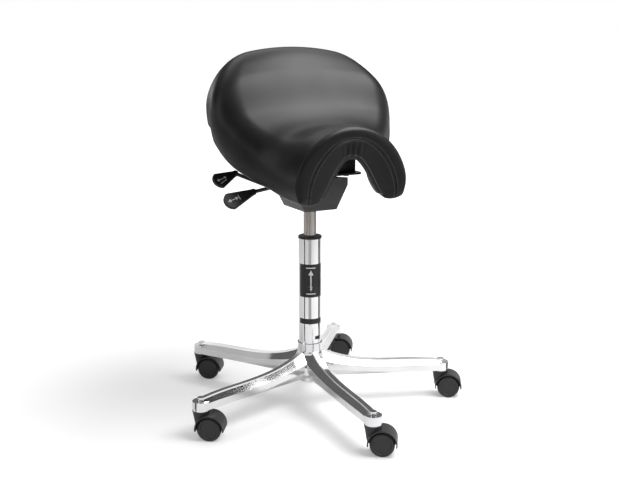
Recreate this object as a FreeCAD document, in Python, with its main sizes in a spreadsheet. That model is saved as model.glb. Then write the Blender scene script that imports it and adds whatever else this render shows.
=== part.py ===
import FreeCAD, Part
import math
import os
import re
import Sketcher
from FreeCAD import Placement, Rotation, Vector

# Saddle stool: a five-armed castor base, a gas lift, a tilting mechanism with
# two hand levers, and a padded saddle seat.  Millimetres and degrees.
# The origin is on the floor under the column.  The sitter faces -Y, with the
# left hand towards +X, and +Z is up.

document = FreeCAD.newDocument("saddle_stool")

# Driving sizes, by group

BASE_SIZES = {
    "arm_reach": 300,
    "first_arm_angle": -21.6,
    "arm_underside": 61.5,
    "arm_tip_radius": 17.5,
    "arm_tip_depth": 19,
    "tip_knob_radius": 7,
    "tip_knob_height": 4,
    "arm_root_start": 18,
    "arm_root_half_width": 24,
    "arm_root_top": 126,
    "arm_root_side_low": 84,
    "arm_root_side_high": 103,
    "arm_knee_start": 85,
    "arm_knee_half_width": 20,
    "arm_knee_top": 101,
    "arm_knee_side_low": 73,
    "arm_knee_side_high": 87,
    "arm_middle_start": 165,
    "arm_middle_half_width": 18,
    "arm_middle_top": 92,
    "arm_middle_side_low": 66,
    "arm_middle_side_high": 80,
    "arm_end_half_width": 16,
    "arm_end_top": 86,
    "arm_end_side_low": 62.5,
    "arm_end_side_high": 77,
    "ridge_half_width": 6,
    "ridge_height": 3,
    "keel_half_width": 13,
    "channel_half_width": 8,
    "channel_wall": 7,
    "channel_start": 52,
    "channel_stop": 272,
    "hub_bottom": 65,
    "hub_foot_radius": 37,
    "hub_radius": 43,
    "hub_shoulder_low": 73,
    "hub_shoulder_high": 90,
    "hub_cone_top": 116,
    "hub_neck_radius": 27.5,
    "hub_top": 140,
    "hub_flare_radius": 22,
}

COLUMN_SIZES = {
    "tube_radius": 25,
    "tube_wall": 1.5,
    "tube_foot_radius": 23.6,
    "tube_bottom": 50,
    "tube_top": 376,
    "tube_floor_thickness": 4,
    "sleeve_length": 75,
    "collar_height": 5,
    "collar_lip": 0.8,
    "sleeve_clearance": 0.1,
    "cylinder_radius": 14,
    "cylinder_bore_radius": 12.2,
    "cylinder_bottom": 150,
    "cylinder_neck_radius": 13.2,
    "cylinder_cap_thickness": 30,
    "gland_thickness": 15,
    "rod_radius": 5,
    "rod_clearance": 0.05,
    "rod_bottom": 44,
    "rod_top": 330,
    "piston_radius": 12,
    "piston_thickness": 12,
    "bearing_height": 10,
    "bearing_radius": 14,
    "clip_radius": 10,
    "clip_thickness": 3,
    "running_gap": 0.3,
}

MECHANISM_SIZES = {
    "pan_bottom": 443,
    "pan_bottom_half_width": 38,
    "pan_half_width": 65,
    "pan_front": 50,
    "pan_back": 50,
    "pan_front_margin": 9,
    "pan_back_margin": 1,
    "pan_wall": 2.5,
    "taper_length": 43,
    "socket_radius": 19,
    "socket_flange_radius": 25,
    "socket_flange_thickness": 4,
    "pivot_forward": 32,
    "pivot_rise": 58,
    "pivot_pin_radius": 4,
    "pin_clearance": 0.1,
    "pivot_clip_radius": 7,
    "pivot_clip_thickness": 2,
    "spacer_radius": 6.5,
    "spacer_clearance": 0.5,
    "clamp_back": 30,
    "clamp_drop": 17,
    "clamp_washer_radius": 7,
    "clamp_washer_reach": 50,
    "clamp_nut_radius": 8,
    "clamp_nut_thickness": 6,
    "ear_inner": 38,
    "ear_thickness": 4,
    "ear_half_length": 42,
    "ear_foot": 17,
    "ear_lobe_radius": 10,
    "slot_half_angle": 10,
    "slot_clearance": 0.4,
    "bridge_thickness": 3.5,
    "window_half_width": 8,
    "window_drop": 16,
    "window_rise": 7,
    "plate_rise": 14,
    "seat_plate_thickness": 4,
    "seat_plate_half_width": 100,
    "seat_plate_front": 55,
    "seat_plate_back": 52,
    "seat_plate_corner": 12,
    "button_radius": 3,
    "button_clearance": 0.1,
    "button_height": 6,
    "button_depth": 14,
}

LEVER_SIZES = {
    "lever_rod_radius": 4,
    "lever_pivot_side": 30,
    "lever_pin_radius": 2.5,
    "lever_inner_reach": 5,
    "lever_bracket_gap": 4.5,
    "lever_bracket_wall": 3,
    "lever_bracket_half_length": 5,
    "lever_exit_side": 66,
    "lever_grip_side": 137,
    "lever_grip_forward": 8,
    "lever_grip_drop": 8.5,
    "lever_tip_side": 205,
    "lever_tip_forward": 16,
    "lever_tip_drop": 27,
    "lever_notch_margin": 3.3,
    "tilt_exit_side": 70,
    "tilt_grip_side": 134,
    "tilt_grip_back": 92,
    "tilt_grip_rise": 29.5,
    "tilt_tip_side": 190,
    "tilt_tip_back": 76,
    "tilt_tip_rise": 14.5,
    "paddle_big_radius": 20,
    "paddle_small_radius": 7,
    "paddle_thickness": 8,
    "paddle_edge_radius": 2.5,
    "paddle_face_tilt": 42,
    "rod_bend_radius": 12,
}

SEAT_SIZES = {
    "block_half_width": 88,
    "block_front": 42,
    "block_back": 30,
    "shell_thickness": 6,
    "shell_gap": 0.6,
    "shell_hem_setback": 9,
    "shell_front_setback": 14,
    "shell_tail_setback": 40,
    "bolt_side": 75,
    "bolt_front": 26,
    "bolt_back": 18,
    "bolt_radius": 4,
    "bolt_clearance": 0.3,
    "bolt_length": 34,
    "bolt_head_radius": 6.5,
    "bolt_head_height": 4,
    "washer_radius": 9,
    "washer_thickness": 1.6,
    "hem_sag": 4,
}

CASTOR_SIZES = {
    "castor_count": 5,
    "castor_yaw": -34.4,
    "castor_trail": 19,
    "wheel_radius": 25,
    "wheel_width": 17.2,
    "wheel_bevel": 3,
    "wheel_disc_radius": 18.5,
    "wheel_disc_depth": 1.2,
    "wheel_web": 1.8,
    "wheel_gap": 0.6,
    "web_half_thickness": 3,
    "web_radius": 13,
    "hood_radius": 30,
    "hood_wall": 2.5,
    "hood_lowest": 21,
    "hood_half_width": 21.5,
    "hood_boss_radius": 18.3,
    "hood_boss_foot_radius": 12,
    "hood_boss_bottom": 26,
    "hood_top_gap": 0.3,
    "axle_radius": 3,
    "axle_clearance": 0.05,
    "stem_radius": 5.5,
    "stem_clearance": 0.1,
    "stem_top": 82,
    "stem_bottom": 50,
}

# Heights that follow from other sizes, each a sum of them

LEVELS = {
    "cylinder_top": ("pan_bottom", "taper_length"),
    "pivot_height": ("pan_bottom", "pivot_rise"),
    "pan_knee_height": ("pivot_height", "-spacer_radius", "-spacer_clearance"),
    "pan_front_top": ("pivot_height", "pan_front_margin"),
    "pan_back_top": ("pivot_height", "-pan_back_margin"),
    "clamp_height": ("pivot_height", "-clamp_drop"),
    "ear_low_edge": ("clamp_height", "-ear_foot"),
    "window_bottom": ("pivot_height", "-window_drop"),
    "window_top": ("pivot_height", "window_rise"),
    "seat_plate_bottom": ("pivot_height", "plate_rise"),
    "lever_height": ("cylinder_top", "button_height", "running_gap", "lever_rod_radius"),
    "lever_notch_bottom": ("lever_height", "-lever_rod_radius", "-lever_notch_margin"),
}

# The seat is a loft through nose-to-tail sections.  Each section is an arch
# in a plane through a crown point and a hem point of the side view, so the
# planes fan from upright at the pommel to nearly level at the tail.  The nose
# row is a little smaller than the pommel row, which rounds the front edge.
# Each row gives, in millimetres and degrees: crown forward, crown height,
# hem forward, hem height, half width, height of the widest point over the
# hem, half width at the hem, splay of the leg, shoulder fullness, then the
# padding at the crown, at the side and at the hem, and the inner splay.
# Crown and hem heights are over the underside of the seat plate.

SEAT_COLUMNS = ("crown_forward", "crown_height", "hem_forward", "hem_height",
                "half_width", "widest_height", "hem_half_width", "splay",
                "fullness", "crown_pad", "side_pad", "hem_pad", "inner_splay")
SEAT_STATIONS = {
    "nose": (190, 106, 190, -26, 109, 51, 102, 18, 0.47, 49, 62, 27, 28),
    "pommel": (177, 116, 176, -30, 118, 54, 110, 17, 0.47, 58, 70, 34, 28),
    "throat": (149, 118, 139, -27, 124, 52, 118, 15, 0.47, 58, 62, 31, 20),
    "waist": (81, 111, 70, -5, 150, 51, 144, 9, 0.55, 56, 47, 28, 9),
    "perch": (31, 142, 9, 21, 188, 63, 177, 3, 0.65, 54, 42, 27, 2),
    "hip": (-24, 224, -51, 60, 209, 79, 192, 0, 0.75, 58, 42, 27, 0),
    "crest": (-80, 266, -90, 72, 192, 75, 185, 0, 0.78, 62, 42, 27, 0),
    "back": (-169, 219, -133, 76, 175, 61, 167, 0, 0.75, 56, 42, 27, 0),
    "tail": (-217, 128, -166, 88, 159, 17, 150, 0, 0.7, 26, 30, 24, 0),
}

sheet = document.addObject("Spreadsheet::Sheet", "sizes")
SIZES = {}
for group in (BASE_SIZES, COLUMN_SIZES, MECHANISM_SIZES, LEVER_SIZES, SEAT_SIZES, CASTOR_SIZES):
    SIZES.update(group)
for station, row in SEAT_STATIONS.items():
    for column, number in zip(SEAT_COLUMNS, row):
        SIZES[station + "_" + column] = number
for line, (alias, number) in enumerate(SIZES.items(), start=1):
    sheet.set("A%d" % line, alias)
    sheet.set("B%d" % line, str(number))
    sheet.setAlias("B%d" % line, alias)
document.recompute()

SIZE_WORD = re.compile(r"\b[a-z]+_[a-z0-9_]*\b")


def size(alias):
    """The value of one cell of the sheet, or of a height made from several."""
    if alias in LEVELS:
        return sum(-size(word[1:]) if word.startswith("-") else size(word) for word in LEVELS[alias])
    return float(sheet.get(alias))


def spelled(word):
    """A cell's name as the document's expressions want it, or a height's sum."""
    if word in LEVELS:
        terms = [("-" if term.startswith("-") else "+") + spelled(term.lstrip("-"))
                 for term in LEVELS[word]]
        return "(" + "".join(terms).lstrip("+") + ")"
    return "sizes." + word


def bound(text):
    """A sum written in cell names and heights, as an expression."""
    return SIZE_WORD.sub(lambda word: spelled(word.group(0)), text)


# Helpers for bodies and sketches

def origin_plane(body, role):
    return [item for item in body.Origin.OriginFeatures if item.Role == role][0]


def new_body(name):
    body = document.addObject("PartDesign::Body", name)
    body.Label = name
    return body


def new_sketch(body, name, plane, offset=None):
    sketch = body.newObject("Sketcher::SketchObject", name)
    sketch.AttachmentSupport = [(origin_plane(body, plane), "")]
    sketch.MapMode = "FlatFace"
    if offset:
        sketch.setExpression("AttachmentOffset.Base.z", bound(offset))
    return sketch


def hold(sketch, kind, element, point, text):
    """Hold one coordinate or radius of a sketch at a sum of sizes."""
    if kind == "Radius":
        index = sketch.addConstraint(Sketcher.Constraint(kind, element, 1.0))
    else:
        index = sketch.addConstraint(Sketcher.Constraint(kind, element, point, 1.0))
    sketch.setExpression("Constraints[%d]" % index, bound(text))


def polygon(body, name, plane, points, offset=None):
    """A closed outline of straight lines through points given as sums."""
    sketch = new_sketch(body, name, plane, offset)
    count = len(points)
    turn = 2 * math.pi / count
    rough = [Vector(math.cos(turn * i), math.sin(turn * i), 0) for i in range(count)]
    for i in range(count):
        sketch.addGeometry(Part.LineSegment(rough[i], rough[(i + 1) % count]))
    for i in range(count):
        sketch.addConstraint(Sketcher.Constraint("Coincident", i, 2, (i + 1) % count, 1))
    for i, (across, up) in enumerate(points):
        hold(sketch, "DistanceX", i, 1, across)
        hold(sketch, "DistanceY", i, 1, up)
    return sketch


def circle(body, name, plane, across, up, radius, offset=None):
    """A sketch with one circle."""
    sketch = new_sketch(body, name, plane, offset)
    sketch.addGeometry(Part.Circle(Vector(0, 0, 0), Vector(0, 0, 1), 1.0))
    hold(sketch, "Radius", 0, 0, radius)
    hold(sketch, "DistanceX", 0, 3, across)
    hold(sketch, "DistanceY", 0, 3, up)
    return sketch


def turned(body, name, points, base="XZ_Plane"):
    """A body turned about Z from an outline of (radius, height) points."""
    outline = polygon(body, name + "_outline", base, points)
    feature = body.newObject("PartDesign::Revolution", name)
    feature.Profile = outline
    feature.ReferenceAxis = (outline, ["V_Axis"])
    feature.Angle = 360
    return feature


def pad(body, name, sketch, length, midplane=False, reverse=False):
    feature = body.newObject("PartDesign::Pad", name)
    feature.Profile = sketch
    feature.Midplane = midplane
    feature.Reversed = reverse
    feature.setExpression("Length", bound(length))
    return feature


def pocket(body, name, sketch, length=None, midplane=False, reverse=False):
    """A cut along the sketch's normal, right through where no length is given."""
    feature = body.newObject("PartDesign::Pocket", name)
    feature.Profile = sketch
    feature.Midplane = midplane
    feature.Reversed = reverse
    if length:
        feature.setExpression("Length", bound(length))
    else:
        feature.Type = 1
    return feature


def around(body, name, features, count):
    """Repeat features round the Z axis."""
    feature = body.newObject("PartDesign::PolarPattern", name)
    feature.Originals = features
    feature.Axis = (origin_plane(body, "Z_Axis"), [""])
    feature.Angle = 360
    feature.setExpression("Occurrences", bound(count))
    body.Tip = feature
    return feature


def round_edges(body, name, base, chosen, radius):
    """Fillet the edges of a feature that the test picks."""
    document.recompute()
    names = ["Edge%d" % (i + 1) for i, edge in enumerate(base.Shape.Edges) if chosen(edge)]
    feature = body.newObject("PartDesign::Fillet", name)
    feature.Base = (base, names)
    feature.setExpression("Radius", bound(radius))
    return feature


def is_circle(edge, radius, height):
    """A level circle about the Z axis with this radius and height."""
    curve = edge.Curve
    return (isinstance(curve, Part.Circle)
            and abs(curve.Radius - radius) < 0.01
            and abs(curve.Center.z - height) < 0.01)


def in_code(name, shape):
    """A sub-part whose shape no feature gives, such as the seat's loft."""
    feature = document.addObject("Part::Feature", name)
    feature.Label = name
    feature.Shape = shape
    return feature


def primitive(kind, name, sizes, base=None, axis=None):
    """A Part primitive with its sizes and place bound to the sheet."""
    item = document.addObject("Part::" + kind, name)
    if axis:
        item.Placement = Placement(Vector(0, 0, 0), Rotation(Vector(0, 0, 1), axis))
    for prop, text in sizes.items():
        item.setExpression(prop, bound(text))
    for letter, text in (base or {}).items():
        item.setExpression("Placement.Base." + letter, bound(text))
    return item


def combined(kind, name, first, second):
    item = document.addObject("Part::" + kind, name)
    item.Base = first
    item.Tool = second
    return item


ALONG_X = Vector(1, 0, 0)
ALONG_Y = Vector(0, 1, 0)


def ring(name, outer, inner, height, base, axis=None):
    """A washer or sleeve: one cylinder less another."""
    disc = primitive("Cylinder", name + "_disc", {"Radius": outer, "Height": height}, base, axis)
    bore = primitive("Cylinder", name + "_bore", {"Radius": inner, "Height": height}, base, axis)
    return combined("Cut", name, disc, bore)


def group(name, members):
    """Several like solids under one name."""
    item = document.addObject("Part::Compound", name)
    item.Links = members
    item.Label = name
    return item


# Star base

def arm_section(body, name, start, half, low, high, top, keel):
    """Half-round of an arm: keel, leaning sides, sloping top and raised ridge."""
    points = [("-" + keel, "arm_underside"), (keel, "arm_underside"), (half, low), (half, high),
              ("ridge_half_width", top + " - ridge_height"), ("ridge_half_width - 1", top),
              ("1 - ridge_half_width", top), ("-ridge_half_width", top + " - ridge_height"),
              ("-" + half, high), ("-" + half, low)]
    return polygon(body, name, "YZ_Plane", points, start)


def channel_section(body, name, start, top):
    points = [("-channel_half_width", "arm_underside - 1"), ("channel_half_width", "arm_underside - 1"),
              ("channel_half_width - 2", top), ("2 - channel_half_width", top)]
    return polygon(body, name, "YZ_Plane", points, start)


def make_star_base():
    body = new_body("star_base")
    hub = turned(body, "hub", [
        ("0", "hub_bottom"), ("hub_foot_radius", "hub_bottom"), ("hub_radius", "hub_shoulder_low"),
        ("hub_radius", "hub_shoulder_high"), ("hub_neck_radius", "hub_cone_top"),
        ("hub_neck_radius", "hub_top"), ("0", "hub_top")])
    round_edges(body, "hub_flare", hub,
                lambda edge: is_circle(edge, size("hub_neck_radius"), size("hub_cone_top")),
                "hub_flare_radius")
    places = ("root", "knee", "middle")
    sections = [arm_section(body, "arm_" + place + "_section", "arm_" + place + "_start",
                            "arm_" + place + "_half_width", "arm_" + place + "_side_low",
                            "arm_" + place + "_side_high", "arm_" + place + "_top",
                            "keel_half_width") for place in places]
    sections.append(arm_section(body, "arm_end_section", "arm_reach", "arm_end_half_width",
                                "arm_end_side_low", "arm_end_side_high", "arm_end_top",
                                "keel_half_width"))
    arm = body.newObject("PartDesign::AdditiveLoft", "arm")
    arm.Profile = sections[0]
    arm.Sections = sections[1:]
    tip = pad(body, "arm_tip", circle(body, "arm_tip_outline", "XY_Plane", "arm_reach", "0",
                                      "arm_tip_radius", "arm_underside"), "arm_tip_depth")
    knob = pad(body, "tip_knob", circle(body, "tip_knob_outline", "XY_Plane", "arm_reach", "0",
                                        "tip_knob_radius", "arm_end_top - tip_knob_height"),
               "2 * tip_knob_height - 2")
    around(body, "arms", [arm, tip, knob], "castor_count")
    channel = body.newObject("PartDesign::SubtractiveLoft", "channel")
    channel.Profile = channel_section(body, "channel_root_section", "channel_start",
                                      "arm_knee_top - ridge_height - channel_wall")
    channel.Sections = [channel_section(body, "channel_end_section", "channel_stop",
                                        "arm_end_top - ridge_height - channel_wall")]
    socket = pocket(body, "castor_socket",
                    circle(body, "castor_socket_outline", "XY_Plane", "arm_reach", "0",
                           "stem_radius + stem_clearance", "arm_underside"),
                    "stem_top - arm_underside + 1", reverse=True)
    around(body, "castor_sockets", [channel, socket], "castor_count")
    bore_outline = polygon(body, "bore_outline", "XZ_Plane", [
        ("0", "arm_underside - 1"),
        ("tube_foot_radius + (tube_radius - tube_foot_radius) * (arm_underside - 1 - tube_bottom)"
         " / (hub_top - tube_bottom)", "arm_underside - 1"),
        ("tube_radius", "hub_top"), ("tube_radius", "hub_top + 1"), ("0", "hub_top + 1")])
    bore = body.newObject("PartDesign::Groove", "column_bore")
    bore.Profile = bore_outline
    bore.ReferenceAxis = (bore_outline, ["V_Axis"])
    bore.Angle = 360
    body.Placement.Rotation = Rotation(Vector(0, 0, 1), 1)
    body.setExpression("Placement.Rotation.Angle", bound("first_arm_angle"))
    return body


# Column and gas lift

def make_column():
    tube = new_body("column_tube")
    turned(tube, "tube", [
        ("rod_radius + sleeve_clearance", "tube_bottom"), ("tube_foot_radius", "tube_bottom"),
        ("tube_radius", "hub_top"), ("tube_radius", "tube_top"),
        ("tube_radius - tube_wall", "tube_top"), ("tube_radius - tube_wall", "hub_top"),
        ("tube_foot_radius - tube_wall", "tube_bottom + tube_floor_thickness"),
        ("rod_radius + sleeve_clearance", "tube_bottom + tube_floor_thickness")])
    sleeve = new_body("guide_sleeve")
    turned(sleeve, "sleeve", [
        ("cylinder_radius + sleeve_clearance", "tube_top - sleeve_length"),
        ("tube_radius - tube_wall", "tube_top - sleeve_length"),
        ("tube_radius - tube_wall", "tube_top"), ("tube_radius + collar_lip", "tube_top"),
        ("tube_radius + collar_lip", "tube_top + collar_height - 1"),
        ("tube_radius + collar_lip - 1", "tube_top + collar_height"),
        ("cylinder_radius + sleeve_clearance", "tube_top + collar_height")])
    return [tube, sleeve]


def make_piston():
    rod = new_body("piston_rod")
    seat = "tube_bottom + tube_floor_thickness + bearing_height"
    turned(rod, "rod", [
        ("0", "rod_bottom"), ("rod_radius", "rod_bottom"), ("rod_radius", seat),
        ("rod_radius + 3", seat), ("rod_radius + 3", seat + " + 3"), ("rod_radius", seat + " + 3"),
        ("rod_radius", "rod_top - piston_thickness"), ("piston_radius", "rod_top - piston_thickness"),
        ("piston_radius", "rod_top"), ("0", "rod_top")])
    floor = "tube_bottom + tube_floor_thickness"
    third = "bearing_height / 3"
    inner = "rod_radius + rod_clearance"
    races = [
        ring("lower_race", "bearing_radius", inner, third, {"z": floor}),
        ring("ball_cage", "bearing_radius - 1.5", inner, third, {"z": floor + " + " + third}),
        ring("upper_race", "bearing_radius", inner, third, {"z": floor + " + 2 * " + third})]
    bearing = group("thrust_bearing", races)
    clip = ring("rod_clip", "clip_radius", inner, "clip_thickness",
                {"z": "tube_bottom - running_gap - clip_thickness"})
    return [rod, bearing, clip]


TAPER_AT = "cylinder_radius - (cylinder_radius - cylinder_neck_radius) * (%s - pan_bottom)" \
           " / (cylinder_top - pan_bottom)"


def make_cylinder():
    body = new_body("gas_cylinder")
    cap = "cylinder_top - cylinder_cap_thickness"
    turned(body, "cylinder", [
        ("cylinder_bore_radius", "cylinder_bottom"), ("cylinder_radius", "cylinder_bottom"),
        ("cylinder_radius", "pan_bottom"), ("cylinder_neck_radius", "cylinder_top"),
        ("button_radius + button_clearance", "cylinder_top"),
        ("button_radius + button_clearance", "cylinder_top - button_depth - 4"),
        ("0", "cylinder_top - button_depth - 4"), ("0", cap), ("cylinder_bore_radius", cap)])
    gland = ring("cylinder_gland", "cylinder_bore_radius", "rod_radius + rod_clearance",
                 "gland_thickness", {"z": "cylinder_bottom"})
    button = new_body("release_button")
    turned(button, "button", [
        ("0", "cylinder_top - button_depth"), ("button_radius", "cylinder_top - button_depth"),
        ("button_radius", "cylinder_top + button_height - 1"),
        ("button_radius - 1", "cylinder_top + button_height"),
        ("0", "cylinder_top + button_height")])
    return [body, gland, button]


# Tilting mechanism

def make_pan():
    """Pressed pan: flared sides, upright rims, sloping top edge, open above."""
    body = new_body("mechanism_pan")
    outer = polygon(body, "pan_outline", "XZ_Plane", [
        ("-pan_bottom_half_width", "pan_bottom"), ("pan_bottom_half_width", "pan_bottom"),
        ("pan_half_width", "pan_knee_height"), ("pan_half_width", "pan_front_top"),
        ("-pan_half_width", "pan_front_top"), ("-pan_half_width", "pan_knee_height")],
        "-pan_back")
    pad(body, "pan", outer, "pan_front + pan_back")
    hollow = polygon(body, "hollow_outline", "XZ_Plane", [
        ("pan_wall - pan_bottom_half_width", "pan_bottom + pan_wall"),
        ("pan_bottom_half_width - pan_wall", "pan_bottom + pan_wall"),
        ("pan_half_width - pan_wall", "pan_knee_height"),
        ("pan_half_width - pan_wall", "pan_front_top + 1"),
        ("pan_wall - pan_half_width", "pan_front_top + 1"),
        ("pan_wall - pan_half_width", "pan_knee_height")],
        "pan_front - pan_wall")
    pocket(body, "hollow", hollow, "pan_front + pan_back - 2 * pan_wall")
    slope = polygon(body, "slope_outline", "YZ_Plane", [
        ("-pan_front", "pan_front_top"), ("pan_back + 1", "pan_back_top"),
        ("pan_back + 1", "pan_front_top + 1"), ("-pan_front", "pan_front_top + 1")])
    pocket(body, "slope", slope, "4 * pan_half_width", midplane=True)
    pocket(body, "pivot_hole",
           circle(body, "pivot_hole_outline", "YZ_Plane", "-pivot_forward", "pivot_height",
                  "pivot_pin_radius"), "4 * pan_half_width", midplane=True)
    pocket(body, "clamp_hole",
           circle(body, "clamp_hole_outline", "YZ_Plane", "clamp_back", "clamp_height",
                  "lever_rod_radius + pin_clearance"), "4 * pan_half_width", midplane=True)
    pocket(body, "cylinder_hole",
           circle(body, "cylinder_hole_outline", "XY_Plane", "0", "0", "cylinder_radius",
                  "pan_bottom - 1"), "pan_wall + 2", reverse=True)
    notch = polygon(body, "notch_outline", "YZ_Plane", [
        ("-window_half_width", "lever_notch_bottom"), ("window_half_width", "lever_notch_bottom"),
        ("window_half_width", "pan_front_top + 2"), ("-window_half_width", "pan_front_top + 2")],
        "-pan_half_width - 1")
    pocket(body, "lever_notch", notch, "pan_half_width - lever_pivot_side", reverse=True)
    return body


def make_socket():
    body = new_body("taper_socket")
    floor = "pan_bottom + pan_wall"
    turned(body, "socket", [
        (TAPER_AT % ("(" + floor + ")"), floor), ("socket_flange_radius", floor),
        ("socket_flange_radius", floor + " + socket_flange_thickness"),
        ("socket_radius", floor + " + socket_flange_thickness"), ("socket_radius", "cylinder_top - 2"),
        (TAPER_AT % "(cylinder_top - 2)", "cylinder_top - 2")])
    return body


def make_tilt_bracket():
    """Two ears under a bridge, with the pivot hole, the clamp slot and a window."""
    body = new_body("tilt_bracket")
    bridge = polygon(body, "bridge_outline", "YZ_Plane", [
        ("-ear_half_length", "seat_plate_bottom - bridge_thickness"),
        ("ear_half_length", "seat_plate_bottom - bridge_thickness"),
        ("ear_half_length", "seat_plate_bottom"), ("-ear_half_length", "seat_plate_bottom")])
    pad(body, "bridge", bridge, "2 * (ear_inner + ear_thickness)", midplane=True)
    ear_outline = polygon(body, "ear_outline", "YZ_Plane", [
        ("-ear_half_length", "seat_plate_bottom"),
        ("-ear_half_length", "pivot_height - ear_lobe_radius + 4"),
        ("-pivot_forward - 3", "pivot_height - ear_lobe_radius"),
        ("-pivot_forward + 8", "pivot_height - ear_lobe_radius"),
        ("clamp_back - 12", "ear_low_edge"), ("ear_half_length - 4", "ear_low_edge"),
        ("ear_half_length", "ear_low_edge + 4"), ("ear_half_length", "seat_plate_bottom")],
        "ear_inner")
    ear = pad(body, "ear", ear_outline, "ear_thickness")
    mirror = body.newObject("PartDesign::Mirrored", "other_ear")
    mirror.Originals = [ear]
    mirror.MirrorPlane = (origin_plane(body, "YZ_Plane"), [""])
    body.Tip = mirror
    pocket(body, "ear_pivot_hole",
           circle(body, "ear_pivot_outline", "YZ_Plane", "-pivot_forward", "pivot_height",
                  "pivot_pin_radius + pin_clearance"), "4 * ear_inner", midplane=True)
    window = polygon(body, "window_outline", "YZ_Plane", [
        ("-window_half_width", "window_bottom"), ("window_half_width", "window_bottom"),
        ("window_half_width", "window_top"), ("-window_half_width", "window_top")])
    pocket(body, "lever_window", window, "4 * ear_inner", midplane=True)
    slot = new_sketch(body, "slot_outline", "YZ_Plane")
    draw_slot(slot)
    pocket(body, "clamp_slot", slot, "4 * ear_inner", midplane=True)
    return body


def draw_slot(sketch):
    """A curved slot about the pivot, wide enough for the clamp rod."""
    pivot = Vector(-size("pivot_forward"), size("pivot_height"), 0)
    clamp = Vector(size("clamp_back"), size("clamp_height"), 0)
    reach = clamp.sub(pivot).Length
    middle = math.atan2(clamp.y - pivot.y, clamp.x - pivot.x)
    half = math.radians(size("slot_half_angle"))
    wide = size("lever_rod_radius") + size("slot_clearance")

    def at(radius, angle):
        return pivot.add(Vector(radius * math.cos(angle), radius * math.sin(angle), 0))

    low, high = middle - half, middle + half
    for radius in (reach - wide, reach + wide):
        sketch.addGeometry(Part.Arc(at(radius, low), at(radius, middle), at(radius, high)))
    for angle, past in ((low, -1), (high, 1)):
        cap = at(reach, angle).add(Vector(-math.sin(angle), math.cos(angle), 0).multiply(past * wide))
        sketch.addGeometry(Part.Arc(at(reach - wide, angle), cap, at(reach + wide, angle)))


def make_tilt_hardware():
    side = "ear_inner + ear_thickness + running_gap"
    inner_wall = "pan_half_width - pan_wall"
    pin = primitive("Cylinder", "tilt_pivot_pin",
                    {"Radius": "pivot_pin_radius", "Height": "2 * (pan_half_width + 4)"},
                    {"x": "-pan_half_width - 4", "y": "-pivot_forward", "z": "pivot_height"}, ALONG_X)
    pivot = {"y": "-pivot_forward", "z": "pivot_height"}
    clamp = {"y": "clamp_back", "z": "clamp_height"}
    spacers = []
    clips = []
    washers = []
    for hand, sign in (("left", 1), ("right", -1)):
        def place(start, length, centre):
            edge = start if sign > 0 else "-(" + start + ") - (" + length + ")"
            return dict(centre, x=edge)
        length = inner_wall + " - (" + side + ")"
        spacers.append(ring("pivot_spacer_" + hand, "spacer_radius", "pivot_pin_radius", length,
                            place(side, length, pivot), ALONG_X))
        clips.append(ring("pivot_clip_" + hand, "pivot_clip_radius", "pivot_pin_radius",
                          "pivot_clip_thickness",
                          place("pan_half_width", "pivot_clip_thickness", pivot), ALONG_X))
        length = "clamp_washer_reach - (" + side + ")"
        washers.append(ring("clamp_washer_" + hand, "clamp_washer_radius",
                            "lever_rod_radius + pin_clearance", length,
                            place(side, length, clamp), ALONG_X))
    return [pin, group("pivot_spacers", spacers), group("pivot_clips", clips),
            group("clamp_washers", washers)]


def make_seat_plate():
    body = new_body("seat_plate")
    outline = polygon(body, "seat_plate_outline", "XY_Plane", [
        ("-seat_plate_half_width", "-seat_plate_front"), ("seat_plate_half_width", "-seat_plate_front"),
        ("seat_plate_half_width", "seat_plate_back"), ("-seat_plate_half_width", "seat_plate_back")],
        "seat_plate_bottom")
    plate = pad(body, "plate", outline, "seat_plate_thickness")
    upright = lambda edge: edge.BoundBox.ZLength > 0.5 * size("seat_plate_thickness")
    round_edges(body, "plate_corners", plate, upright, "seat_plate_corner")
    bolt_holes(body)
    return body


def bolt_places():
    return [(x, y) for x in ("bolt_side", "-bolt_side") for y in ("-bolt_front", "bolt_back")]


def bolt_holes(body):
    for i, (x, y) in enumerate(bolt_places()):
        pocket(body, "bolt_hole_%d" % i,
               circle(body, "bolt_hole_%d_outline" % i, "XY_Plane", x, y,
                      "bolt_radius + bolt_clearance", "seat_plate_bottom - 1"),
               "seat_plate_thickness + 2", reverse=True)


def make_bolts():
    bolts = []
    washers = []
    head_top = "seat_plate_bottom - washer_thickness"
    for i, (x, y) in enumerate(bolt_places()):
        head = primitive("Prism", "bolt_head_%d" % i,
                         {"Circumradius": "bolt_head_radius", "Height": "bolt_head_height"},
                         {"x": x, "y": y, "z": head_top + " - bolt_head_height"})
        head.Polygon = 6
        shank = primitive("Cylinder", "bolt_shank_%d" % i,
                          {"Radius": "bolt_radius", "Height": "bolt_length"},
                          {"x": x, "y": y, "z": head_top})
        bolts.append(combined("Fuse", "bolt_%d" % i, head, shank))
        washers.append(ring("washer_%d" % i, "washer_radius", "bolt_radius", "washer_thickness",
                            {"x": x, "y": y, "z": head_top}))
    return [group("seat_bolts", bolts), group("bolt_washers", washers)]


# Hand levers

def bent_rod(points, radius, bend):
    """A round rod along straight runs joined by tangent arcs."""
    start = points[0]
    edges = []
    for i in range(1, len(points) - 1):
        before = (points[i - 1] - points[i]).normalize()
        after = (points[i + 1] - points[i]).normalize()
        half = before.getAngle(after) / 2
        back = bend / math.tan(half)
        centre = points[i] + (before + after).normalize() * (bend / math.sin(half))
        inside = centre + (points[i] - centre).normalize() * bend
        first, last = points[i] + before * back, points[i] + after * back
        edges += [Part.makeLine(start, first), Part.Arc(first, inside, last).toShape()]
        start = last
    edges.append(Part.makeLine(start, points[-1]))
    path = Part.Wire(edges)
    mouth = Part.Wire([Part.makeCircle(radius, points[0], points[1] - points[0])])
    return path.makePipeShell([mouth], True, False)


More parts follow.
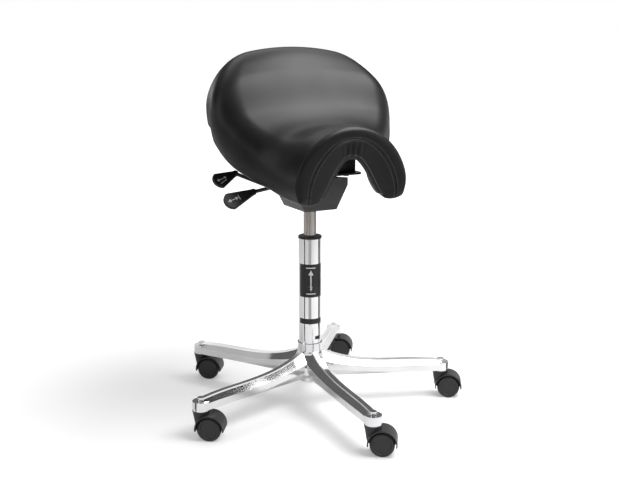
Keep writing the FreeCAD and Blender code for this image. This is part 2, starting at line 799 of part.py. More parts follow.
def paddle(grip, tip):
    """A flat teardrop with rounded rims, small end at the grip."""
    big, small = size("paddle_big_radius"), size("paddle_small_radius")
    thick = size("paddle_thickness")
    along = (tip - grip)
    length = along.Length - big
    along.normalize()
    tilt = math.radians(size("paddle_face_tilt"))
    normal = Vector(0, -math.cos(tilt), math.sin(tilt))
    normal = (normal - along * normal.dot(along)).normalize()
    lean = math.acos((big - small) / length)
    big_edge = Vector(length + big * math.cos(lean), big * math.sin(lean), 0)
    small_edge = Vector(small * math.cos(lean), small * math.sin(lean), 0)
    mirror = lambda point: Vector(point.x, -point.y, 0)
    edges = [
        Part.Arc(mirror(big_edge), Vector(length + big, 0, 0), big_edge).toShape(),
        Part.makeLine(big_edge, small_edge),
        Part.Arc(small_edge, Vector(-small, 0, 0), mirror(small_edge)).toShape(),
        Part.makeLine(mirror(small_edge), mirror(big_edge))]
    solid = Part.Face(Part.Wire(edges)).extrude(Vector(0, 0, thick))
    solid = solid.makeFillet(size("paddle_edge_radius"),
                             [edge for edge in solid.Edges if edge.BoundBox.ZLength < 0.1])
    solid.translate(Vector(0, 0, -thick / 2))
    turn = Rotation(along, normal.cross(along), normal, "XZY")
    solid.Placement = Placement(grip, turn).multiply(solid.Placement)
    return solid


def height_lever_points():
    level = size("lever_height")
    grip = Vector(-size("lever_grip_side"), -size("lever_grip_forward"), level - size("lever_grip_drop"))
    tip = Vector(-size("lever_tip_side"), -size("lever_tip_forward"), level - size("lever_tip_drop"))
    inner = Vector(size("lever_inner_reach"), 0, level)
    leaving = Vector(-size("lever_exit_side"), 0, level)
    return level, inner, leaving, grip, tip


def tilt_lever_points():
    centre = size("clamp_back"), size("clamp_height")
    inner = Vector(size("pan_half_width") + 2, *centre)
    leaving = Vector(-size("tilt_exit_side"), *centre)
    grip = Vector(-size("tilt_grip_side"), size("tilt_grip_back"),
                  size("clamp_height") + size("tilt_grip_rise"))
    tip = Vector(-size("tilt_tip_side"), size("tilt_tip_back"), size("clamp_height") + size("tilt_tip_rise"))
    return inner, leaving, grip, tip


def lever_pair(name, route, grip, tip):
    """A rod and its paddle; the rod's end is held inside the paddle."""
    rod = bent_rod(route + [grip], size("lever_rod_radius"), size("rod_bend_radius"))
    blade = paddle(grip, tip)
    return rod.cut(blade), blade


def make_levers():
    level, inner, leaving, grip, tip = height_lever_points()
    rod, blade = lever_pair("height", [inner, leaving], grip, tip)
    side = size("lever_pivot_side")
    half = size("lever_bracket_gap") + size("lever_bracket_wall")
    pin_hole = Part.makeCylinder(size("lever_pin_radius") + size("pin_clearance"), 4 * half,
                                 Vector(-side, -2 * half, level), Vector(0, 1, 0))
    rod = rod.cut(pin_hole)
    pin = Part.makeCylinder(size("lever_pin_radius"), 2 * half + 2, Vector(-side, -half - 1, level),
                            Vector(0, 1, 0))
    floor = size("pan_bottom") + size("pan_wall")
    wide = size("lever_bracket_half_length")
    cheek_top = level + size("lever_pin_radius") + 2.5
    left, width = -side - wide + 1, 2 * wide - 2
    bracket = Part.makeBox(width, 2 * half, cheek_top - floor, Vector(left, -half, floor))
    gap = Part.makeBox(width + 2, 2 * size("lever_bracket_gap"), cheek_top,
                       Vector(left - 1, -size("lever_bracket_gap"), floor + size("lever_bracket_wall")))
    tight_hole = Part.makeCylinder(size("lever_pin_radius"), 4 * half,
                                   Vector(-side, -2 * half, level), Vector(0, 1, 0))
    bracket = bracket.cut(gap).cut(tight_hole)
    parts = [in_code("height_lever_rod", rod), in_code("height_lever_paddle", blade),
             in_code("lever_bracket", bracket), in_code("lever_pin", pin)]
    inner, leaving, grip, tip = tilt_lever_points()
    rod, blade = lever_pair("tilt", [inner, leaving], grip, tip)
    nut = Part.makeCylinder(size("clamp_nut_radius"), size("clamp_nut_thickness"),
                            Vector(size("pan_half_width") + 2, inner.y, inner.z), ALONG_X)
    parts += [in_code("tilt_lever_rod", rod), in_code("tilt_lever_paddle", blade),
              in_code("clamp_nut", nut)]
    return parts


# Saddle seat

def plane_arc(start, heading, end):
    """Middle point and end heading of the arc that leaves start on a heading."""
    chord = end.sub(start)
    side = Vector(-heading.y, heading.x, 0)
    bulge = chord.dot(side)
    if abs(bulge) < 0.01 * chord.Length:
        return None, heading
    radius = chord.dot(chord) / (2 * bulge)
    centre = start.add(side * radius)
    middle = start.add(chord * 0.5)
    outward = middle.sub(centre)
    if outward.Length < 0.001:
        outward = heading * radius
    top = centre.add(outward.normalize() * abs(radius))
    leaving = end.sub(centre)
    turn = Vector(-leaving.y, leaving.x, 0).normalize()
    return top, turn * (1 if radius > 0 else -1)


def arc_at_height(start, heading, end, height):
    """The point at a height on the arc that leaves start on a heading."""
    chord = end.sub(start)
    side = Vector(-heading.y, heading.x, 0)
    bulge = chord.dot(side)
    if abs(bulge) < 0.01 * chord.Length:
        return start.add(chord * ((height - start.y) / chord.y))
    radius = chord.dot(chord) / (2 * bulge)
    centre = start.add(side * radius)
    across = math.sqrt(radius ** 2 - (height - centre.y) ** 2)
    return Vector(centre.x + math.copysign(across, end.x - centre.x), height, 0)


def half_arch(rise, half_width, widest, hem_width, splay, fullness, stop):
    """Crown arc, shoulder arc and hem arc of half an arch, in its own plane.

    The crown and shoulder arcs share a tangent where they meet; fullness sets
    how long the shoulder's tangent is, as a share of the drop to the widest
    point.  The hem arc ends at a height above the hem line, its stop.  Each
    arc comes back as its start, middle and end.
    """
    crown = Vector(0, rise, 0)
    side = Vector(half_width, widest, 0)
    level = Vector(1, 0, 0)
    down = Vector(math.sin(math.radians(splay)), -math.cos(math.radians(splay)), 0)
    shoulder = fullness * (rise - widest)
    reach = side.sub(crown)
    top = (reach.dot(reach) / 2 - shoulder * reach.dot(down))
    top = top / (reach.dot(level) - shoulder * level.dot(down) + shoulder)
    first, last = crown.add(level * top), side.sub(down * shoulder)
    joint = first.add(last.sub(first) * (top / (top + shoulder)))
    crown_middle, heading = plane_arc(crown, level, joint)
    shoulder_middle, _ = plane_arc(joint, heading, side)
    hem = arc_at_height(side, down, Vector(hem_width, 0, 0), stop)
    hem_middle, _ = plane_arc(side, down, hem)
    return [(crown, crown_middle, joint), (joint, shoulder_middle, side), (side, hem_middle, hem)]


def run(points):
    """An arc through three points, or a line where the middle one is None."""
    start, middle, end = points
    if middle is None:
        return Part.makeLine(start, end)
    return Part.Arc(start, middle, end).toShape()


def row_gap(first, second):
    """Mean of the crown's and the hem's step from one row to the next."""
    crown = math.hypot(second["crown_forward"] - first["crown_forward"],
                       second["crown_height"] - first["crown_height"])
    hem = math.hypot(second["hem_forward"] - first["hem_forward"],
                     second["hem_height"] - first["hem_height"])
    return (crown + hem) / 2


def seat_rows():
    """The stations, with one more row midway in each gap, on a smooth curve.

    A row's slope is its neighbours' two slopes, weighted by the other gap, and
    the midway row is that of the cubic with the slopes at both its ends.
    """
    rows = [{column: size(station + "_" + column) for column in SEAT_COLUMNS}
            for station in SEAT_STATIONS]
    for row in rows:
        row["crown_height"] += size("seat_plate_bottom")
        row["hem_height"] += size("seat_plate_bottom")
    gaps = [row_gap(first, second) for first, second in zip(rows, rows[1:])]
    steps = [{column: (second[column] - first[column]) / gap for column in SEAT_COLUMNS}
             for first, second, gap in zip(rows, rows[1:], gaps)]
    slopes = [steps[0]]
    for i in range(1, len(gaps)):
        slopes.append({column: (gaps[i] * steps[i - 1][column] + gaps[i - 1] * steps[i][column])
                       / (gaps[i - 1] + gaps[i]) for column in SEAT_COLUMNS})
    slopes.append(steps[-1])
    filled = [rows[0]]
    for i, gap in enumerate(gaps):
        filled.append({column: (rows[i][column] + rows[i + 1][column]) / 2
                       + gap * (slopes[i][column] - slopes[i + 1][column]) / 8
                       for column in SEAT_COLUMNS})
        filled.append(rows[i + 1])
    return filled


def seat_arches(row, outer_depth, inner_depth, stop):
    """Half arches at two depths under the skin; 0 is the skin, 1 the padding's back.

    A depth past 1 goes on beyond the padding, in millimetres past it.  The hem
    arcs end at the stop, a height over the hem line.
    """
    rise = math.hypot(row["crown_forward"] - row["hem_forward"],
                      row["crown_height"] - row["hem_height"])
    arches = []
    for depth in (outer_depth, inner_depth):
        pads = min(depth, 1)
        extra = max(depth - 1, 0)
        hem_drop = pads * row["hem_pad"] + extra
        arches.append(half_arch(
            rise - pads * row["crown_pad"] - extra,
            row["half_width"] - pads * row["side_pad"] - extra,
            row["widest_height"] * (1 - 0.25 * pads),
            row["hem_half_width"] - hem_drop,
            row["splay"] + pads * (row["inner_splay"] - row["splay"]), row["fullness"], stop))
    return arches


def placed(row):
    """Turns a point of the section's own plane into one of the stool's."""
    up = Vector(0, row["hem_forward"] - row["crown_forward"], row["crown_height"] - row["hem_height"])
    up.normalize()
    foot = Vector(0, -row["hem_forward"], row["hem_height"])
    return lambda point: None if point is None else foot.add(Vector(point.x, 0, 0)).add(up * point.y)


def mirrored(points):
    """The same run on the other side, in the other direction."""
    return tuple(None if p is None else Vector(-p.x, p.y, 0) for p in reversed(points))


def whole_arch(half):
    """Left hem to right hem, with one arc over the crown."""
    crown, shoulder, hem = half
    over = (mirrored(crown)[0], crown[0], crown[2])
    return [mirrored(hem), mirrored(shoulder), over, shoulder, hem]


def arch_wire(row, outer_depth, inner_depth, sag, stop):
    """Closed outline of a section: outer arch, hem, inner arch, hem."""
    outer, inner = [whole_arch(half) for half in seat_arches(row, outer_depth, inner_depth, stop)]
    back = [tuple(reversed(points)) for points in reversed(inner)]

    def hem(start, end):
        middle = start.add(end) * 0.5
        return start, (middle.add(Vector(0, -sag, 0)) if sag else None), end

    runs = outer + [hem(outer[-1][2], back[0][0])] + back + [hem(back[-1][2], outer[0][0])]
    place = placed(row)
    return Part.Wire([run([place(point) for point in points]) for points in runs])


def under_wire(row, depth, foot_drop):
    """Closed outline of the space under an arch, down past its hems."""
    half = seat_arches(row, depth, depth, 0)[0]
    arch = whole_arch(half)
    left, right = arch[0][0], arch[-1][2]
    down = Vector(0, -foot_drop, 0)
    runs = arch + [(right, None, right.add(down)), (right.add(down), None, left.add(down)),
                   (left.add(down), None, left)]
    place = placed(row)
    return Part.Wire([run([place(point) for point in points]) for points in runs])


def make_cushion(rows):
    wires = [arch_wire(row, 0, 1, size("hem_sag"), 0) for row in rows]
    return Part.makeLoft(wires, True, False)


def make_shell(rows):
    depth = 1 + size("shell_gap")
    wires = [arch_wire(row, depth, depth + size("shell_thickness"), 0, size("shell_hem_setback"))
             for row in rows]
    shell = Part.makeLoft(wires, True, False)
    front = -rows[0]["crown_forward"] + size("shell_front_setback")
    tail = -rows[-1]["crown_forward"] - size("shell_tail_setback")
    box = shell.BoundBox
    keep = Part.makeBox(box.XLength, tail - front, box.ZLength, Vector(box.XMin, front, box.ZMin))
    return shell.common(keep)


def make_block(rows):
    """The riser between seat plate and shell; its top follows the shell."""
    depth = 1 + size("shell_gap") + size("shell_thickness") + size("shell_gap")
    space = Part.makeLoft([under_wire(row, depth, 60) for row in rows], True, False)
    bottom = size("seat_plate_bottom") + size("seat_plate_thickness")
    box = Part.makeBox(2 * size("block_half_width"), size("block_front") + size("block_back"),
                       space.BoundBox.ZMax - bottom,
                       Vector(-size("block_half_width"), -size("block_front"), bottom))
    block = box.common(space)
    for x, y in bolt_places():
        sign = -1 if x.startswith("-") else 1
        back = -size("bolt_front") if y.startswith("-") else size("bolt_back")
        hole = Part.makeCylinder(size("bolt_radius"), size("bolt_length"),
                                 Vector(sign * size("bolt_side"), back,
                                        size("seat_plate_bottom") - size("washer_thickness")))
        block = block.cut(hole)
    return block


def make_seat():
    rows = seat_rows()
    return [in_code("seat_cushion", make_cushion(rows)), in_code("seat_shell", make_shell(rows)),
            in_code("saddle_block", make_block(rows))]


# Castors

def make_castor(number):
    """Hooded twin-wheel castor, made about its own stem and set under an arm."""
    tag = "castor_%d_" % number
    axle = {"x": "castor_trail", "z": "wheel_radius"}

    def across(name, radius, half, part="Cylinder"):
        return primitive(part, tag + name, {"Radius": radius, "Height": "2 * " + half},
                         dict(axle, y="-" + half), ALONG_Y)

    boss = primitive("Cone", tag + "boss", {
        "Radius1": "hood_boss_foot_radius", "Radius2": "hood_boss_radius",
        "Height": "arm_underside - hood_top_gap - hood_boss_bottom"}, {"z": "hood_boss_bottom"})
    drum = across("drum", "hood_radius", "hood_half_width")
    body = combined("Fuse", tag + "hood_blank", drum, boss)
    wells = []
    for hand, start in (("left", "web_half_thickness"), ("right", "-2 * hood_half_width")):
        wells.append(primitive("Cylinder", tag + "well_" + hand, {
            "Radius": "hood_radius - hood_wall",
            "Height": "2 * hood_half_width - web_half_thickness"},
            dict(axle, y=start), ALONG_Y))
    well_pair = combined("Fuse", tag + "wells", wells[0], wells[1])
    floor_cut = primitive("Box", tag + "floor_cut", {
        "Length": "4 * hood_radius", "Width": "4 * hood_radius", "Height": "2 * hood_lowest"},
        {"x": "-2 * hood_radius", "y": "-2 * hood_radius", "z": "-hood_lowest"})
    cuts = combined("Fuse", tag + "cuts", well_pair, floor_cut)
    fender = combined("Cut", tag + "fender", body, cuts)
    web = across("web", "web_radius", "web_half_thickness")
    hood = combined("Fuse", tag + "hood_solid", fender, web)
    axle_hole = across("axle_hole", "axle_radius", "hood_radius")
    stem_hole = primitive("Cylinder", tag + "stem_hole", {"Radius": "stem_radius", "Height": "100"},
                          {"z": "stem_bottom"})
    holes = combined("Fuse", tag + "holes", axle_hole, stem_hole)
    hood = combined("Cut", tag + "hood_own", hood, holes)
    stem = primitive("Cylinder", tag + "stem_own", {"Radius": "stem_radius",
                                                "Height": "stem_top - stem_bottom"},
                     {"z": "stem_bottom"})
    axle_pin = across("axle_own", "axle_radius",
                      "(web_half_thickness + wheel_gap + wheel_width - wheel_disc_depth"
                      " - wheel_web - running_gap)")
    pieces = {"hood": hood, "stem": stem, "axle": axle_pin}
    for hand in ("left", "right"):
        pieces["wheel_" + hand] = make_wheel(tag + "wheel_" + hand + "_own", hand)
    return [under_arm(tag + name, piece, number) for name, piece in pieces.items()]


def under_arm(name, piece, number):
    """Set a castor piece under its own arm, turned to the castor's heading."""
    item = group(name, [piece])
    turn = "(first_arm_angle + 360 * %d / castor_count) * 1deg" % (number - 1)
    item.Placement.Rotation = Rotation(Vector(0, 0, 1), 1)
    item.setExpression("Placement.Base.x", bound("arm_reach * cos(" + turn + ")"))
    item.setExpression("Placement.Base.y", bound("arm_reach * sin(" + turn + ")"))
    item.setExpression("Placement.Rotation.Angle", bound("castor_yaw"))
    return item


def make_wheel(name, hand):
    """A moulded wheel: bevelled tread, and a disc set into its closed outer face."""
    body = new_body(name)
    sign = "" if hand == "left" else "-"
    inner = "web_half_thickness + wheel_gap"
    outer = inner + " + wheel_width"
    disc = outer + " - wheel_disc_depth"
    bore = "axle_radius + axle_clearance"

    def y(text):
        return sign + "(" + text + ")"

    points = [
        (bore, y(inner)), ("wheel_radius - 1", y(inner)), ("wheel_radius", y(inner + " + 1")),
        ("wheel_radius", y(outer + " - wheel_bevel")), ("wheel_radius - wheel_bevel", y(outer)),
        ("wheel_disc_radius", y(outer)), ("wheel_disc_radius - 1", y(disc)), ("0", y(disc)),
        ("0", y(disc + " - wheel_web")), (bore, y(disc + " - wheel_web"))]
    sketch = polygon(body, name + "_outline", "XY_Plane", points)
    wheel = body.newObject("PartDesign::Revolution", name + "_turned")
    wheel.Profile = sketch
    wheel.ReferenceAxis = (sketch, ["V_Axis"])
    wheel.Angle = 360
    body.setExpression("Placement.Base.x", bound("castor_trail"))
    body.setExpression("Placement.Base.z", bound("wheel_radius"))
    return body


# Build and write

parts = [make_star_base()]
parts += make_column()
parts += make_piston()
parts += make_cylinder()
parts += [make_pan(), make_socket(), make_tilt_bracket()]
parts += make_tilt_hardware()
parts += [make_seat_plate()]
parts += make_bolts()
parts += make_levers()
document.recompute()
for number in range(1, int(size("castor_count")) + 1):
    parts += make_castor(number)
document.recompute()
parts += make_seat()
document.recompute()

broken = [item.Name for item in document.Objects
          if "Invalid" in item.State or "Error" in item.State]
if broken:
    raise RuntimeError("objects that failed: " + ", ".join(broken))
for part in parts:
    if part.Shape.isNull() or not part.Shape.isValid():
        raise RuntimeError("no valid shape: " + part.Label)
os.makedirs("parts", exist_ok=True)
for part in parts:
    part.Shape.exportStep("parts/" + part.Label + ".step")
print(len(parts), "parts written")
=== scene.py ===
import math

import bmesh
import bpy
import numpy as np
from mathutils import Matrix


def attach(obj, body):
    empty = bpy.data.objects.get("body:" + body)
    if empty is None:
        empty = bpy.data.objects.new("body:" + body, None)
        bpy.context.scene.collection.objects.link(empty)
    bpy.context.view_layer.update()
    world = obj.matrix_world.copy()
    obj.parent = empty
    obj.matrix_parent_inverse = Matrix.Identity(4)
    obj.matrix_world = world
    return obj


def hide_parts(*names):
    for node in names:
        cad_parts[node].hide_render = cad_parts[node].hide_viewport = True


# saddle stool: five-armed castor base, gas lift, tilting mechanism and padded saddle
# metres, +Z up, the sitter faces -Y, origin on the floor under the column

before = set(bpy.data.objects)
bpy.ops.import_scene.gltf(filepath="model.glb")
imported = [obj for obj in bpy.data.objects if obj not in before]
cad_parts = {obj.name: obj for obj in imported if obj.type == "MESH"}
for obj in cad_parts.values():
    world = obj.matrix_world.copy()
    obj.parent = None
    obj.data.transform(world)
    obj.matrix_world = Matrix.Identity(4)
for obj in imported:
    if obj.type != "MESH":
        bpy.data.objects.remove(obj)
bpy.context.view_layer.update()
print("frame loaded:", len(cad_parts), "nodes")

mm = 0.001


# camera

view = {
    "distance": 1.933,        # from the column, level with the floor
    "height": 0.793,
    "compass": -28.0,         # degrees about the column, 0 in front of the nose
    "heading": -27.94,        # degrees about Z
    "downTilt": 12.81,
    "focalPixels": 908.0,
    "frameWidth": 618.0,
    "sensorWidth": 36.0,
    "clipStart": 0.05,
}


def makeCamera(v):
    lens = bpy.data.cameras.new("stoolCamera")
    lens.sensor_width = v["sensorWidth"]
    lens.lens = lens.sensor_width * v["focalPixels"] / v["frameWidth"]
    lens.clip_start = v["clipStart"]
    camera = bpy.data.objects.new("stoolCamera", lens)
    bpy.context.scene.collection.objects.link(camera)
    turn = math.radians(v["compass"])
    camera.location = (v["distance"] * math.sin(turn), -v["distance"] * math.cos(turn), v["height"])
    camera.rotation_euler = (math.radians(90 - v["downTilt"]), 0, math.radians(v["heading"]))
    bpy.context.scene.camera = camera


# studio: white paper floor, big soft lamps, grey cards that only reflections see

studio = {
    "floorSize": 60.0,
    "floorWhite": 0.80,
    "liftNear": 0.26,         # added for the camera under the stool, so the floor reads white
    "liftFar": 1.00,
    "nearEnd": 0.5,           # metres from the column where the lift starts to grow
    "farStart": 2.6,
    "worldFill": 0.30,
    "reflectLow": 0.95,       # white that reflections see at eye level and overhead
    "reflectHigh": 0.40,
    "skyLow": 0.15,           # rise of a ray where the white starts and ends its fade
    "skyHigh": 0.95,
    "cardDistance": 3.0,
    "screenSteps": 36,
    "sheetSteps": 8,
    "sheetLift": 0.0015,      # above the paper
}

softboxes = {
    "topBox": dict(place=(0.85, -0.62, 2.25), aim=(0.05, 0.0, 0.62), width=1.7, height=1.5, watts=62.0),
    "backBox": dict(place=(0.5, 1.3, 2.5), aim=(0.2, 0.3, 0.3), width=2.2, height=1.4, watts=13.0),
    "leftBox": dict(place=(-2.4, 0.2, 1.5), aim=(0, 0, 0.4), width=1.0, height=1.6, watts=7.0),
    "rightBox": dict(place=(1.7, -1.5, 1.7), aim=(0, 0, 0.4), width=0.8, height=1.4, watts=5.0),
}

screens = {
    # compass from and to, in degrees from +X towards +Y, low and high edge in metres
    "screenRound": dict(start=0, stop=350, low=1.10, high=3.2, grey=0.13),
}

floorSheets = {
    # compass from and to, near and far edge in metres from the column
    "sheetLeft": dict(start=182, stop=192, near=0.45, far=5.0, grey=0.03),
    "sheetCamera": dict(start=228, stop=256, near=0.60, far=5.0, grey=0.42),
    "sheetRight": dict(start=334, stop=362, near=0.45, far=5.0, grey=0.10),
}


# turns an object at a place so that it looks along -Z at a target
def aimAt(obj, place, target):
    obj.location = place
    direction = np.array(target, float) - np.array(place, float)
    flat = math.hypot(direction[0], direction[1])
    obj.rotation_euler = (math.atan2(flat, -direction[2]), 0, math.atan2(-direction[0], direction[1]))


def mathNode(nodes, links, kind, first, second):
    node = nodes.new("ShaderNodeMath")
    node.operation = kind
    for slot, value in zip(node.inputs, (first, second)):
        if isinstance(value, (int, float)):
            slot.default_value = value
        else:
            links.new(value, slot)
    return node.outputs[0]


def mapRange(nodes, links, value, fromLow, fromHigh, low, high):
    mapped = nodes.new("ShaderNodeMapRange")
    mapped.inputs["From Min"].default_value = fromLow
    mapped.inputs["From Max"].default_value = fromHigh
    mapped.inputs["To Min"].default_value = low
    mapped.inputs["To Max"].default_value = high
    links.new(value, mapped.inputs["Value"])
    return mapped.outputs["Result"]


# White for the camera, a fill for the diffuse light, and a fading sky for reflections.
def makeWorld(s):
    world = bpy.data.worlds.new("studioWorld")
    bpy.context.scene.world = world
    world.use_nodes = True
    nodes, links = world.node_tree.nodes, world.node_tree.links
    background = nodes["Background"]
    background.inputs["Color"].default_value = (1, 1, 1, 1)
    path = nodes.new("ShaderNodeLightPath")
    coords = nodes.new("ShaderNodeTexCoord")
    split = nodes.new("ShaderNodeSeparateXYZ")
    links.new(coords.outputs["Generated"], split.inputs[0])
    sky = mapRange(nodes, links, split.outputs["Z"], s["skyLow"], s["skyHigh"],
                   s["reflectLow"], s["reflectHigh"])
    seen = mathNode(nodes, links, "MAXIMUM", path.outputs["Is Glossy Ray"],
                    path.outputs["Is Transmission Ray"])
    reflected = mathNode(nodes, links, "MULTIPLY", sky, seen)
    direct = mathNode(nodes, links, "MAXIMUM", path.outputs["Is Camera Ray"], reflected)
    links.new(mathNode(nodes, links, "MAXIMUM", direct, s["worldFill"]), background.inputs["Strength"])


# Matt white paper; the camera sees it lifted to white, more so away from the stool.
def makeFloor(s):
    half = s["floorSize"] / 2
    mesh = bpy.data.meshes.new("floor")
    corners = [(-half, -half, 0), (half, -half, 0), (half, half, 0), (-half, half, 0)]
    mesh.from_pydata(corners, [], [(0, 1, 2, 3)])
    floor = bpy.data.objects.new("floor", mesh)
    bpy.context.scene.collection.objects.link(floor)
    material = bpy.data.materials.new("floorPaper")
    material.use_nodes = True
    nodes, links = material.node_tree.nodes, material.node_tree.links
    nodes.clear()
    out = nodes.new("ShaderNodeOutputMaterial")
    paper = nodes.new("ShaderNodeBsdfDiffuse")
    paper.inputs["Color"].default_value = (s["floorWhite"], s["floorWhite"], s["floorWhite"], 1)
    coords = nodes.new("ShaderNodeTexCoord")
    distance = nodes.new("ShaderNodeVectorMath")
    distance.operation = "LENGTH"
    links.new(coords.outputs["Object"], distance.inputs[0])
    lift = mapRange(nodes, links, distance.outputs["Value"], s["nearEnd"], s["farStart"],
                    s["liftNear"], s["liftFar"])
    path = nodes.new("ShaderNodeLightPath")
    glow = nodes.new("ShaderNodeEmission")
    seen = mathNode(nodes, links, "MULTIPLY", lift, path.outputs["Is Camera Ray"])
    links.new(seen, glow.inputs["Strength"])
    both = nodes.new("ShaderNodeAddShader")
    links.new(paper.outputs[0], both.inputs[0])
    links.new(glow.outputs[0], both.inputs[1])
    links.new(both.outputs[0], out.inputs["Surface"])
    floor.data.materials.append(material)


def makeLamps():
    for name, box in softboxes.items():
        lamp = bpy.data.lights.new(name, "AREA")
        lamp.shape = "RECTANGLE"
        lamp.size, lamp.size_y = box["width"], box["height"]
        lamp.energy = box["watts"]
        obj = bpy.data.objects.new(name, lamp)
        bpy.context.scene.collection.objects.link(obj)
        aimAt(obj, box["place"], box["aim"])


# A strip of quads between two rows of points, in a flat grey that only gloss sees.
def makeCard(name, points, grey):
    count = len(points) // 2
    faces = [(i, i + 1, i + count + 1, i + count) for i in range(count - 1)]
    mesh = bpy.data.meshes.new(name)
    mesh.from_pydata(points.tolist(), [], faces)
    card = bpy.data.objects.new(name, mesh)
    bpy.context.scene.collection.objects.link(card)
    material = bpy.data.materials.new(name)
    material.use_nodes = True
    nodes, links = material.node_tree.nodes, material.node_tree.links
    nodes.clear()
    out = nodes.new("ShaderNodeOutputMaterial")
    glow = nodes.new("ShaderNodeEmission")
    glow.inputs["Color"].default_value = (grey, grey, grey, 1)
    links.new(glow.outputs[0], out.inputs["Surface"])
    card.data.materials.append(material)
    card.visible_camera = False
    card.visible_diffuse = False
    card.visible_shadow = False


# Points on a circle about the column, from one compass direction to another.
def compassRing(start, stop, steps):
    turns = np.radians(np.linspace(start, stop, steps + 1))
    return np.stack([np.cos(turns), np.sin(turns), 0 * turns], -1)


# Grey screens round the stool and sheets on the floor, for the gloss to mirror.
def makeCards(s):
    for name, card in screens.items():
        ring = compassRing(card["start"], card["stop"], s["screenSteps"]) * s["cardDistance"]
        edges = [ring + [0, 0, card["low"]], ring + [0, 0, card["high"]]]
        makeCard(name, np.concatenate(edges), card["grey"])
    for name, card in floorSheets.items():
        ring = compassRing(card["start"], card["stop"], s["sheetSteps"])
        lift = [0, 0, s["sheetLift"]]
        edges = [ring * card["near"] + lift, ring * card["far"] + lift]
        makeCard(name, np.concatenate(edges), card["grey"])


bpy.context.scene.view_settings.view_transform = "Standard"
makeCamera(view)
makeWorld(studio)
makeFloor(studio)
makeLamps()
makeCards(studio)
print("camera and studio made")


# finishes

def startMaterial(name):
    material = bpy.data.materials.new(name)
    material.use_nodes = True
    nodes, links = material.node_tree.nodes, material.node_tree.links
    return material, nodes, links, nodes["Principled BSDF"]


def objectPoint(nodes, links, stretch=(1, 1, 1)):
    coords = nodes.new("ShaderNodeTexCoord")
    mapping = nodes.new("ShaderNodeMapping")
    mapping.inputs["Scale"].default_value = stretch
    links.new(coords.outputs["Object"], mapping.inputs["Vector"])
    return mapping.outputs["Vector"]


def noise(nodes, links, point, scale, detail=3.0):
    texture = nodes.new("ShaderNodeTexNoise")
    texture.inputs["Scale"].default_value = scale
    texture.inputs["Detail"].default_value = detail
    links.new(point, texture.inputs["Vector"])
    return texture.outputs["Fac"]


# A texture's value mapped from its usual range to low..high.
def spread(nodes, links, value, low, high):
    return mapRange(nodes, links, value, 0.3, 0.7, low, high)


# A colour between two by a value of 0 to 1.
def shade(nodes, links, value, dark, light):
    mix = nodes.new("ShaderNodeMix")
    mix.data_type = "RGBA"
    mix.inputs["A"].default_value = (*dark, 1)
    mix.inputs["B"].default_value = (*light, 1)
    links.new(value, mix.inputs["Factor"])
    return mix.outputs["Result"]


def bump(nodes, links, height, strength, distance, under=None):
    node = nodes.new("ShaderNodeBump")
    node.inputs["Strength"].default_value = strength
    node.inputs["Distance"].default_value = distance
    links.new(height, node.inputs["Height"])
    if under:
        links.new(under, node.inputs["Normal"])
    return node.outputs["Normal"]


finishes = {
    # base colours dark and light, roughness low and high, grain per metre, bump depth in mm
    "castAluminium": dict(dark=(0.78, 0.78, 0.79), light=(0.90, 0.90, 0.91), rough=(0.07, 0.16),
                          grain=90, depth=0.02, metal=1.0),
    "chromedTube": dict(dark=(0.80, 0.80, 0.81), light=(0.88, 0.88, 0.89), rough=(0.03, 0.07),
                        grain=60, depth=0.004, metal=1.0, stretch=(1, 1, 0.1)),
    "warmSteel": dict(dark=(0.44, 0.41, 0.38), light=(0.60, 0.56, 0.52), rough=(0.13, 0.24),
                      grain=420, depth=0.004, metal=1.0, stretch=(1, 1, 0.05)),
    "plainSteel": dict(dark=(0.42, 0.42, 0.43), light=(0.60, 0.60, 0.61), rough=(0.22, 0.36),
                       grain=500, depth=0.01, metal=1.0),
    "greyLacquer": dict(dark=(0.056, 0.056, 0.058), light=(0.070, 0.070, 0.072), rough=(0.40, 0.50),
                        grain=700, depth=0.02, metal=0.0),
    "blackLacquer": dict(dark=(0.010, 0.010, 0.011), light=(0.016, 0.016, 0.017), rough=(0.34, 0.46),
                         grain=700, depth=0.02, metal=0.0),
    "blackMoulded": dict(dark=(0.009, 0.009, 0.010), light=(0.015, 0.015, 0.016), rough=(0.44, 0.56),
                         grain=1500, depth=0.03, metal=0.0),
    "castorNylon": dict(dark=(0.014, 0.014, 0.015), light=(0.022, 0.022, 0.024), rough=(0.38, 0.52),
                        grain=1300, depth=0.03, metal=0.0),
    "stainedWood": dict(dark=(0.010, 0.009, 0.009), light=(0.026, 0.023, 0.021), rough=(0.50, 0.66),
                        grain=260, depth=0.05, metal=0.0, stretch=(0.15, 1, 1)),
}


# Mottled colour, roughness that drifts with it, and a fine grain in the bump.
def makeFinish(name, dark, light, rough, grain, depth, metal, stretch=(1, 1, 1)):
    material, nodes, links, bsdf = startMaterial(name)
    point = objectPoint(nodes, links, stretch)
    mottle = noise(nodes, links, point, grain * 0.12, 4.0)
    colour = shade(nodes, links, spread(nodes, links, mottle, 0, 1), dark, light)
    links.new(colour, bsdf.inputs["Base Color"])
    links.new(spread(nodes, links, mottle, rough[0], rough[1]), bsdf.inputs["Roughness"])
    fine = noise(nodes, links, point, grain, 2.0)
    links.new(bump(nodes, links, fine, 0.6, depth * mm), bsdf.inputs["Normal"])
    bsdf.inputs["Metallic"].default_value = metal
    return material


finish = {name: makeFinish(name, **settings) for name, settings in finishes.items()}

